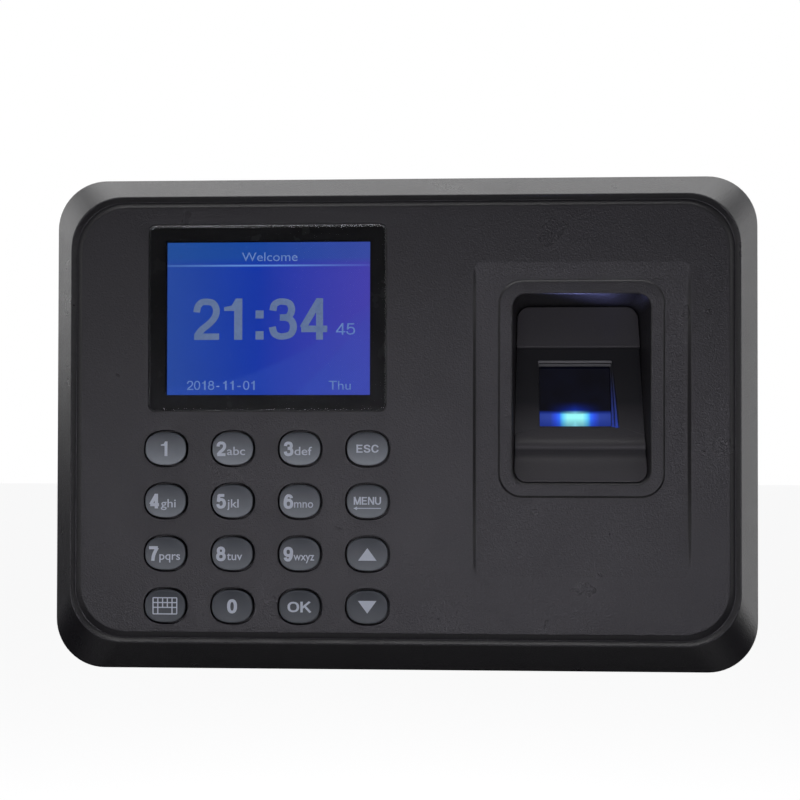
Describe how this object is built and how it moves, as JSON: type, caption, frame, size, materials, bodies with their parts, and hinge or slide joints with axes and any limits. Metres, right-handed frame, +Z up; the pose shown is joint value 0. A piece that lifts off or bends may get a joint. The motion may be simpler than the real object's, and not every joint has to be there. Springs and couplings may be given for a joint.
{
  "type": "fingerprint scanner terminal",
  "caption": "Wall-mounted fingerprint terminal with a colour screen, a numeric keypad and a sloping finger well with an optical sensor.",
  "frame": {"origin": "middle of the wall plate's four screw holes, on the face that lies against the wall", "axes": "+Z up, +X to the right seen from the front, and -Y out of the front towards the person"},
  "size_m": [0.171, 0.0333, 0.12],
  "materials": {
    "cover_black": "fine matt spark texture",
    "rear_black": "matt moulded texture",
    "lens_glass": "polished clear window with a black printed border",
    "tape_black": "matt double-sided tape",
    "lcd_glass": "lit colour display",
    "tray_white": "satin",
    "foam_black": "open-cell foam",
    "flex_amber": "polyimide film",
    "silicone_grey": "moulded silicone",
    "key_smoke": "satin smoke-grey with pale printed legends",
    "board_green": "solder mask",
    "chip_black": "moulded epoxy",
    "can_steel": "drawn metal can",
    "nylon_cream": "moulded nylon",
    "nylon_black": "moulded nylon",
    "cell_steel": "nickel-plated",
    "socket_steel": "nickel-plated",
    "nylon_white": "moulded nylon",
    "contact_metal": "plated",
    "speaker_black": "moulded",
    "cone_paper": "pressed film",
    "magnet_zinc": "zinc-plated",
    "wire_red": "insulated wire",
    "insert_black": "fine matt texture",
    "prism_glass": "polished",
    "board_blue": "solder mask",
    "led_blue": "clear epoxy",
    "ribbon_grey": "flat cable",
    "screw_dark": "black zinc",
    "screw_zinc": "zinc",
    "plate_steel": "galvanised sheet"
  },
  "bodies": {
    "terminal": {"front_cover": "cover_black", "rear_cover": "rear_black", "screen_lens": "lens_glass", "lens_tape": "tape_black", "lcd_panel": "lcd_glass", "lcd_backlight": "tray_white", "lcd_foam": "foam_black", "lcd_flex": "flex_amber", "keypad_mat": "silicone_grey", "main_board": "board_green", "processor": "chip_black", "memory_chips": "chip_black", "crystal": "can_steel", "capacitors": "can_steel", "board_connectors": "nylon_cream", "cell_holder": "nylon_black", "coin_cell": "cell_steel", "usb_shell": "socket_steel", "usb_tongue": "nylon_white", "jack_body": "nylon_black", "jack_pin": "contact_metal", "speaker_frame": "speaker_black", "speaker_cone": "cone_paper", "speaker_magnet": "magnet_zinc", "speaker_lead": "wire_red", "sensor_insert": "insert_black", "sensor_prism": "prism_glass", "sensor_housing": "nylon_black", "sensor_board": "board_blue", "sensor_camera": "chip_black", "sensor_leds": "led_blue", "sensor_cable": "ribbon_grey", "case_screws": "screw_dark", "board_screws": "screw_zinc", "sensor_screws": "screw_zinc", "wall_plate": "plate_steel", "lock_screw": "screw_dark"},
    "key_1": {"key_1": "key_smoke"},
    "key_2": {"key_2": "key_smoke"},
    "key_3": {"key_3": "key_smoke"},
    "key_esc": {"key_esc": "key_smoke"},
    "key_4": {"key_4": "key_smoke"},
    "key_5": {"key_5": "key_smoke"},
    "key_6": {"key_6": "key_smoke"},
    "key_menu": {"key_menu": "key_smoke"},
    "key_7": {"key_7": "key_smoke"},
    "key_8": {"key_8": "key_smoke"},
    "key_9": {"key_9": "key_smoke"},
    "key_up": {"key_up": "key_smoke"},
    "key_input": {"key_input": "key_smoke"},
    "key_0": {"key_0": "key_smoke"},
    "key_ok": {"key_ok": "key_smoke"},
    "key_down": {"key_down": "key_smoke"}
  },
  "joints": [
    {"name": "key_1_press", "type": "slide", "parent": "terminal", "child": "key_1", "axis": [0, 1, 0], "range_m": [0, 0.0008], "stiffness_N_per_m": 400, "springref_m": -0.0015},
    {"name": "key_2_press", "type": "slide", "parent": "terminal", "child": "key_2", "axis": [0, 1, 0], "range_m": [0, 0.0008], "stiffness_N_per_m": 400, "springref_m": -0.0015},
    {"name": "key_3_press", "type": "slide", "parent": "terminal", "child": "key_3", "axis": [0, 1, 0], "range_m": [0, 0.0008], "stiffness_N_per_m": 400, "springref_m": -0.0015},
    {"name": "key_esc_press", "type": "slide", "parent": "terminal", "child": "key_esc", "axis": [0, 1, 0], "range_m": [0, 0.0008], "stiffness_N_per_m": 400, "springref_m": -0.0015},
    {"name": "key_4_press", "type": "slide", "parent": "terminal", "child": "key_4", "axis": [0, 1, 0], "range_m": [0, 0.0008], "stiffness_N_per_m": 400, "springref_m": -0.0015},
    {"name": "key_5_press", "type": "slide", "parent": "terminal", "child": "key_5", "axis": [0, 1, 0], "range_m": [0, 0.0008], "stiffness_N_per_m": 400, "springref_m": -0.0015},
    {"name": "key_6_press", "type": "slide", "parent": "terminal", "child": "key_6", "axis": [0, 1, 0], "range_m": [0, 0.0008], "stiffness_N_per_m": 400, "springref_m": -0.0015},
    {"name": "key_menu_press", "type": "slide", "parent": "terminal", "child": "key_menu", "axis": [0, 1, 0], "range_m": [0, 0.0008], "stiffness_N_per_m": 400, "springref_m": -0.0015},
    {"name": "key_7_press", "type": "slide", "parent": "terminal", "child": "key_7", "axis": [0, 1, 0], "range_m": [0, 0.0008], "stiffness_N_per_m": 400, "springref_m": -0.0015},
    {"name": "key_8_press", "type": "slide", "parent": "terminal", "child": "key_8", "axis": [0, 1, 0], "range_m": [0, 0.0008], "stiffness_N_per_m": 400, "springref_m": -0.0015},
    {"name": "key_9_press", "type": "slide", "parent": "terminal", "child": "key_9", "axis": [0, 1, 0], "range_m": [0, 0.0008], "stiffness_N_per_m": 400, "springref_m": -0.0015},
    {"name": "key_up_press", "type": "slide", "parent": "terminal", "child": "key_up", "axis": [0, 1, 0], "range_m": [0, 0.0008], "stiffness_N_per_m": 400, "springref_m": -0.0015},
    {"name": "key_input_press", "type": "slide", "parent": "terminal", "child": "key_input", "axis": [0, 1, 0], "range_m": [0, 0.0008], "stiffness_N_per_m": 400, "springref_m": -0.0015},
    {"name": "key_0_press", "type": "slide", "parent": "terminal", "child": "key_0", "axis": [0, 1, 0], "range_m": [0, 0.0008], "stiffness_N_per_m": 400, "springref_m": -0.0015},
    {"name": "key_ok_press", "type": "slide", "parent": "terminal", "child": "key_ok", "axis": [0, 1, 0], "range_m": [0, 0.0008], "stiffness_N_per_m": 400, "springref_m": -0.0015},
    {"name": "key_down_press", "type": "slide", "parent": "terminal", "child": "key_down", "axis": [0, 1, 0], "range_m": [0, 0.0008], "stiffness_N_per_m": 400, "springref_m": -0.0015}
  ]
}
